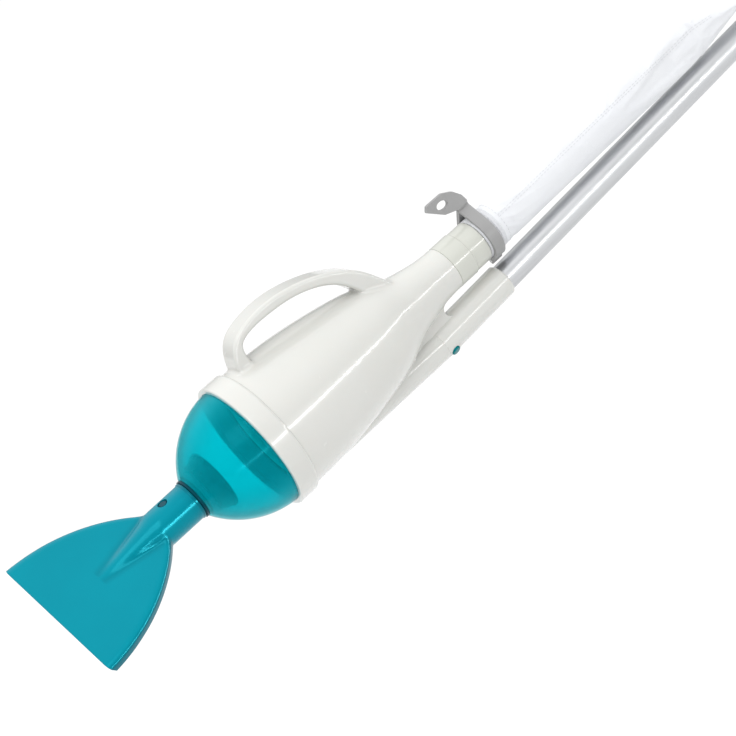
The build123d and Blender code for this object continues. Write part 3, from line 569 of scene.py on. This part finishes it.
def root_fillet(name, part, shell, loop, reach, material):
    """Ring that rounds the corner between a part and its shell."""
    graph = bpy.context.evaluated_depsgraph_get()
    on_shell, on_part = BVHTree.FromObject(shell, graph), BVHTree.FromObject(part, graph)
    corner = smooth_loop(evenly(loop, ROOT_SPACING), 3)
    count = len(corner)
    shell_normals = [on_shell.find_nearest(p)[1] for p in corner]
    along = [(corner[(i + 1) % count] - corner[i - 1]).normalized() for i in range(count)]
    middle = sum(corner, Vector()) / count
    away = []
    for point, tangent, normal in zip(corner, along, shell_normals):
        side = tangent.cross(normal).normalized()
        away.append(side if side.dot(point - middle) > 0 else -side)
    profile_steps = 10
    rings = []
    for point, normal, side in zip(corner, shell_normals, away):
        foot = on_shell.find_nearest(point + side * reach)[0]
        climb = point + normal * reach
        found = on_part.find_nearest(climb)
        top = found[0] if found[3] < reach else climb
        profile = []
        for step in range(profile_steps + 1):
            share = step / profile_steps
            profile.append(foot * (1 - share) ** 2 + point * 2 * share * (1 - share) + top * share ** 2)
        profile.append(top - side * ROOT_SUNK)
        profile.append(point - normal * ROOT_SUNK - side * ROOT_SUNK)
        profile.append(foot - normal * ROOT_SUNK)
        rings.append(profile)
    width = len(rings[0])
    for column in range(width):
        smoothed = smooth_loop([ring[column] for ring in rings], 2)
        for ring, place in zip(rings, smoothed):
            ring[column] = place
    vertices = [place for ring in rings for place in ring]
    faces = []
    for i in range(count):
        following = (i + 1) % count
        for j in range(width):
            k = (j + 1) % width
            faces.append((i * width + j, following * width + j, following * width + k, i * width + k))
    piece = add_piece(name, vertices, faces, material, "body")
    tidy_mesh(piece)
    piece.data.set_sharp_from_angle(angle=math.radians(60))
    return piece


def make_root_fillets():
    shell = NODES["body_shell"]
    for part_name, reach in ROOT_REACH.items():
        for index, loop in enumerate(junction_loops(NODES[part_name], shell)):
            root_fillet(f"{part_name}_root_{index + 1}", NODES[part_name], shell, loop, reach, WHITE)


make_root_fillets()

# ---------------------------------------------------------------- bag
COLLAR_END = 0.4825
BAG_END = 0.803
BAG_TAPER = 0.735
BAG_R = 0.019
BAG_START_R = 0.0194
BAG_FLAT_HALF_WIDTH = 0.0295
BAG_FLAT_HALF_HEIGHT = 0.0015
BAG_TILT = math.radians(1.7)
BAG_ROUND = 112
BAG_ALONG = 200
THREAD_R = 0.00022
CLOTH_WALL = 0.0005
CLOTH_FRAMES = 20
HELD_ROWS = 3                          # rows of points held at each end, less and less firmly
BAG_CURVE_LENGTH = 0.012               # over which the bag narrows from the hem to its own radius
HEM_START = 0.4650
HEM_STITCH_X = 0.4794
HEM_STITCH_R = 0.01955
SEAM_ANGLE = math.radians(150)         # of the side seam, whose two rows lie either side of it
SEAM_HALF_ANGLE = 0.055


def bag_point(x, angle, proud=0.0):
    """Point of the bag before it wrinkles; angle runs from +Y towards +Z."""
    part = max(0.0, (x - BAG_TAPER) / (BAG_END - BAG_TAPER))
    start = max(0.0, 1 - (x - COLLAR_END) / BAG_CURVE_LENGTH)
    half_width = between(BAG_R, BAG_FLAT_HALF_WIDTH, part ** 0.7) + (BAG_START_R - BAG_R) * start
    half_height = between(BAG_R, BAG_FLAT_HALF_HEIGHT, part) + (BAG_START_R - BAG_R) * start
    lift = (x - COLLAR_END) * math.tan(BAG_TILT)
    across = (half_width + proud) * math.cos(angle)
    return at_head(x, across, lift + (half_height + proud) * math.sin(angle))


def settle_cloth(piece, pinned):
    """Let light, taut cloth relax and wrinkle under a faint inner pressure, held at its two ends."""
    group = piece.vertex_groups.new(name="held")
    for index, weight in pinned.items():
        group.add([index], weight, "REPLACE")
    modifier = piece.modifiers.new("cloth", "CLOTH")
    settings = modifier.settings
    settings.quality = 6
    settings.mass = 0.12
    settings.tension_stiffness = settings.compression_stiffness = settings.shear_stiffness = 80
    settings.tension_damping = settings.compression_damping = settings.shear_damping = 25
    settings.bending_stiffness = 1.0
    settings.air_damping = 5
    settings.vertex_group_mass = "held"
    settings.use_pressure = True
    settings.uniform_pressure_force = 0.03
    settings.shrink_min = -0.004
    settings.effector_weights.gravity = 0.02      # the mass above is one point's, so the mesh is heavy
    modifier.collision_settings.use_collision = False
    modifier.point_cache.frame_start = 1
    modifier.point_cache.frame_end = CLOTH_FRAMES
    scene = bpy.context.scene
    for moment in range(1, CLOTH_FRAMES + 1):
        scene.frame_set(moment)
    apply_modifiers(piece)
    scene.frame_set(1)


def make_bag():
    vertices, uvs, pinned = [], [], {}
    for i in range(BAG_ALONG + 1):
        x = between(COLLAR_END, BAG_END, i / BAG_ALONG)
        for j in range(BAG_ROUND):
            vertices.append(bag_point(x, math.tau * j / BAG_ROUND))
            uvs.append((j / BAG_ROUND, i / BAG_ALONG))
            held = max(1 - i / HELD_ROWS, 1 - (BAG_ALONG - i) / HELD_ROWS)
            if held > 0:
                pinned[len(vertices) - 1] = min(1.0, held)
    faces = []
    for i in range(BAG_ALONG):
        for j in range(BAG_ROUND):
            k = (j + 1) % BAG_ROUND
            row, following = i * BAG_ROUND, (i + 1) * BAG_ROUND
            faces.append((row + j, row + k, following + k, following + j))
    bag = add_piece("bag_cloth", vertices, faces, CLOTH, "body", uvs)
    settle_cloth(bag, pinned)
    wall = bag.modifiers.new("wall", "SOLIDIFY")
    wall.thickness = CLOTH_WALL
    wall.offset = -1
    apply_modifiers(bag)
    bag.data.polygons.foreach_set("use_smooth", [True] * len(bag.data.polygons))
    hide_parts("filter_bag")
    return bag


def make_hem():
    """Gathered, elasticated hem: the cloth turned in over a cord, with two rows of stitches."""
    x0, x1 = HEM_START, COLLAR_END
    profile = [(x0, 0.01815), (x0, 0.0192), (x0 + 0.0006, 0.0195), (x1 - 0.0042, 0.0195),
               (x1 - 0.0034, 0.01925), (x1 - 0.0028, 0.0195), (x1 - 0.0004, 0.0196), (x1, 0.0194),
               (x1, 0.01815)]
    count = 180
    vertices, uvs, faces = [], [], []
    for j in range(count):
        angle = math.tau * j / count
        gather = 0.00012 * math.sin(angle * 46) + 0.00006 * math.sin(angle * 29 + 1.3)
        for index, (x, radius) in enumerate(profile):
            proud = gather if 0 < index < len(profile) - 1 else 0.0
            r = radius + proud
            vertices.append(at_head(x, r * math.cos(angle), r * math.sin(angle)))
            uvs.append((j / count, index / len(profile)))
    width = len(profile)
    for j in range(count):
        k = (j + 1) % count
        for i in range(width):
            n = (i + 1) % width
            faces.append((j * width + i, j * width + n, k * width + n, k * width + i))
    hem = add_piece("bag_hem", vertices, faces, TAPE, "body", uvs, sharp=50)
    tidy_mesh(hem)
    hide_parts("bag_collar")
    return hem


def stitch_row(name, places, normals, length=0.0026, gap=0.0011):
    """Row of separate raised stitches that follows a line of points on the cloth."""
    vertices, faces, uvs = [], [], []
    run = 0.0
    marks = []
    for a, b in zip(places, places[1:]):
        marks.append(run)
        run += (b - a).length
    marks.append(run)

    def sample(distance):
        for i in range(len(marks) - 1):
            if marks[i + 1] >= distance:
                share = (distance - marks[i]) / max(marks[i + 1] - marks[i], 1e-9)
                normal = normals[i].lerp(normals[i + 1], share).normalized()
                return places[i].lerp(places[i + 1], share), normal
        return places[-1], normals[-1]

    at = gap
    sides, stations = 6, 7
    while at + length < run:
        base = len(vertices)
        for station in range(stations):
            share = station / (stations - 1)
            point, normal = sample(at + length * share)
            ahead, _ = sample(min(run, at + length * share + 1e-4))
            tangent = (ahead - point).normalized() if (ahead - point).length > 0 else Vector((1, 0, 0))
            side = tangent.cross(normal).normalized()
            arch = math.sin(math.pi * share)
            radius = THREAD_R * (0.35 + 0.65 * arch)
            centre = point + normal * (THREAD_R * (arch * 1.1 - 0.3))
            for corner in range(sides):
                turn = math.tau * corner / sides
                vertices.append(centre + side * (radius * math.cos(turn))
                                + normal * (radius * math.sin(turn)))
                uvs.append((corner / sides, share))
        for station in range(stations - 1):
            for corner in range(sides):
                n = (corner + 1) % sides
                row = base + station * sides
                faces.append((row + corner, row + n, row + sides + n, row + sides + corner))
        faces.append(tuple(base + c for c in reversed(range(sides))))
        faces.append(tuple(base + (stations - 1) * sides + c for c in range(sides)))
        at += length + gap
    row = add_piece(name, vertices, faces, THREAD, "body", uvs)
    tidy_mesh(row)
    return row


def stitches_round(name, x, radius):
    """Stitches round the bag at one place."""
    count = 160
    places, normals = [], []
    for j in range(count + 1):
        angle = math.tau * j / count
        normals.append(Vector((0, math.cos(angle), math.sin(angle))))
        places.append(at_head(x, radius * math.cos(angle), radius * math.sin(angle)))
    return stitch_row(name, places, normals)


def stitches_on_cloth(name, bag, line):
    """Stitches laid on the settled cloth, found by the nearest point of its surface."""
    surface = BVHTree.FromObject(bag, bpy.context.evaluated_depsgraph_get())
    places, normals = [], []
    for point, outward in line:
        hit, normal, _, _ = surface.ray_cast(point + outward * 0.01, -outward)
        if hit is not None:
            places.append(hit)
            normals.append(normal if normal.dot(outward) > 0 else -normal)
    return stitch_row(name, places, normals)


def make_bag_trim(bag):
    hem_end = [(bag_point(COLLAR_END + 0.005, a), Vector((0, math.cos(a), math.sin(a))))
               for a in (math.tau * j / 160 for j in range(161))]
    rows = [stitches_round("hem_stitches", HEM_STITCH_X, HEM_STITCH_R),
            stitches_on_cloth("bag_start_stitches", bag, hem_end)]
    for index, offset in enumerate((-SEAM_HALF_ANGLE, SEAM_HALF_ANGLE)):
        angle = SEAM_ANGLE + offset
        outward = Vector((0, math.cos(angle), math.sin(angle)))
        line = [(bag_point(between(COLLAR_END + 0.004, BAG_TAPER + 0.02, i / 260), angle), outward)
                for i in range(261)]
        rows.append(stitches_on_cloth(f"side_seam_stitches_{index + 1}", bag, line))
    return rows


def make_end_tape():
    """Tape folded over the closed end of the bag and sewn through."""
    half = BAG_FLAT_HALF_WIDTH + 0.001
    lift = (BAG_END - COLLAR_END) * math.tan(BAG_TILT)
    profile = [(0.0, 0.0022), (0.0012, 0.0024), (0.0036, 0.00235), (0.0047, 0.0015), (0.005, 0.0),
               (0.0047, -0.0015), (0.0036, -0.00235), (0.0012, -0.0024), (0.0, -0.0022)]
    count = 120
    vertices, uvs, faces = [], [], []
    width = len(profile)
    for j in range(count + 1):
        share = j / count
        y = between(-half, half, share)
        squeeze = 1 - 0.12 * (0.5 + 0.5 * math.cos(share * math.tau * 16))
        for index, (out, height) in enumerate(profile):
            vertices.append(at_head(BAG_END + out, y, lift + height * squeeze))
            uvs.append((share, index / width))
    for j in range(count):
        for i in range(width):
            n = (i + 1) % width
            faces.append((j * width + i, j * width + n, (j + 1) * width + n, (j + 1) * width + i))
    faces.append(tuple(range(width)))
    faces.append(tuple(count * width + i for i in reversed(range(width))))
    tape = add_piece("bag_tape", vertices, faces, TAPE, "body", uvs, sharp=60)
    tidy_mesh(tape)
    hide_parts("bag_end_binding")
    places = [at_head(BAG_END + 0.0024, between(-half + 0.002, half - 0.002, i / 60), lift + 0.00236)
              for i in range(61)]
    stitches = stitch_row("tape_stitches", places, [Vector((0, 0, 1))] * len(places))
    return tape, stitches


bag_cloth = make_bag()
bag_hem = make_hem()
bag_rows = make_bag_trim(bag_cloth)
bag_tape, tape_rows = make_end_tape()

# ---------------------------------------------------------------- floor, light and camera
HORIZON_LIGHT = 0.3                    # brightness of the studio round the object, and above it
ZENITH_LIGHT = 1.5
CAMERA_AZIMUTH = math.radians(-17.594)
CAMERA_ELEVATION = math.radians(22.0)
CAMERA_ROLL = math.radians(-35.66)
CAMERA_DISTANCE = 1.76646
CAMERA_LENS = 106.33
CAMERA_SHIFT_X = 0.0444
CAMERA_SHIFT_Y = 0.0011
TARGET = at_head(0.3)


def make_floor():
    bpy.ops.mesh.primitive_plane_add(size=40, location=(TARGET.x, TARGET.y, cad_low.z - FLOOR_DROP))
    floor = bpy.context.object
    floor.name = "studio_floor"
    material, nodes, links, shader = new_material("studio_paper")
    shader.inputs["Base Color"].default_value = (0.81, 0.81, 0.81, 1)
    shader.inputs["Roughness"].default_value = 0.9
    floor.data.materials.append(material)


def area_light(name, place, aim, size, energy):
    data = bpy.data.lights.new(name, "AREA")
    data.shape = "RECTANGLE"
    data.size, data.size_y = size
    data.energy = energy
    light = bpy.data.objects.new(name, data)
    light.location = place
    light.rotation_euler = (aim - place).to_track_quat("-Z", "Y").to_euler()
    bpy.context.scene.collection.objects.link(light)
    return light


def make_lights():
    world = bpy.data.worlds.new("studio")
    world.use_nodes = True
    nodes, links = world.node_tree.nodes, world.node_tree.links
    where = nodes.new("ShaderNodeTexCoord")
    split = nodes.new("ShaderNodeSeparateXYZ")
    links.new(where.outputs["Generated"], split.inputs["Vector"])
    strength = spread(nodes, links, split.outputs["Z"], HORIZON_LIGHT, ZENITH_LIGHT, 0.0, 0.8)
    links.new(strength, nodes["Background"].inputs["Strength"])
    nodes["Background"].inputs["Color"].default_value = (1, 1, 1, 1)
    bpy.context.scene.world = world
    area_light("key", TARGET + Vector((-0.5, -1.2, 1.5)), TARGET, (1.0, 1.0), 9.0)
    strip = area_light("strip", TARGET + Vector((0.6, -0.9, 0.05)), at_head(0.9), (3.0, 0.07), 7.0)
    edge = area_light("edge", at_head(0.68, -0.95, -0.03), at_head(0.05, -0.045, -0.02), (2.0, 0.22), 18.0)
    lit = bpy.data.collections.new("lit_by_edge")
    lit.objects.link(bpy.data.objects["nozzle_moulding"])
    edge.light_linking.receiver_collection = lit
    for highlight in (strip, edge):
        highlight.visible_diffuse = False


def make_camera():
    data = bpy.data.cameras.new("camera")
    data.lens = CAMERA_LENS
    data.sensor_width = 36.0
    data.shift_x, data.shift_y = CAMERA_SHIFT_X, CAMERA_SHIFT_Y
    data.clip_start, data.clip_end = 0.05, 60
    back = Vector((math.sin(CAMERA_AZIMUTH) * math.cos(CAMERA_ELEVATION),
                   -math.cos(CAMERA_AZIMUTH) * math.cos(CAMERA_ELEVATION), math.sin(CAMERA_ELEVATION)))
    level = Vector((0, 0, 1)).cross(back).normalized()
    upright = back.cross(level)
    right = level * math.cos(CAMERA_ROLL) + upright * math.sin(CAMERA_ROLL)
    up = upright * math.cos(CAMERA_ROLL) - level * math.sin(CAMERA_ROLL)
    camera = bpy.data.objects.new("camera", data)
    camera.matrix_world = Matrix.Translation(TARGET + back * CAMERA_DISTANCE) @ Matrix(
        (right, up, back)).transposed().to_4x4()
    bpy.context.scene.collection.objects.link(camera)
    bpy.context.scene.camera = camera


make_floor()
make_lights()
make_camera()
bpy.context.scene.view_settings.view_transform = "Standard"
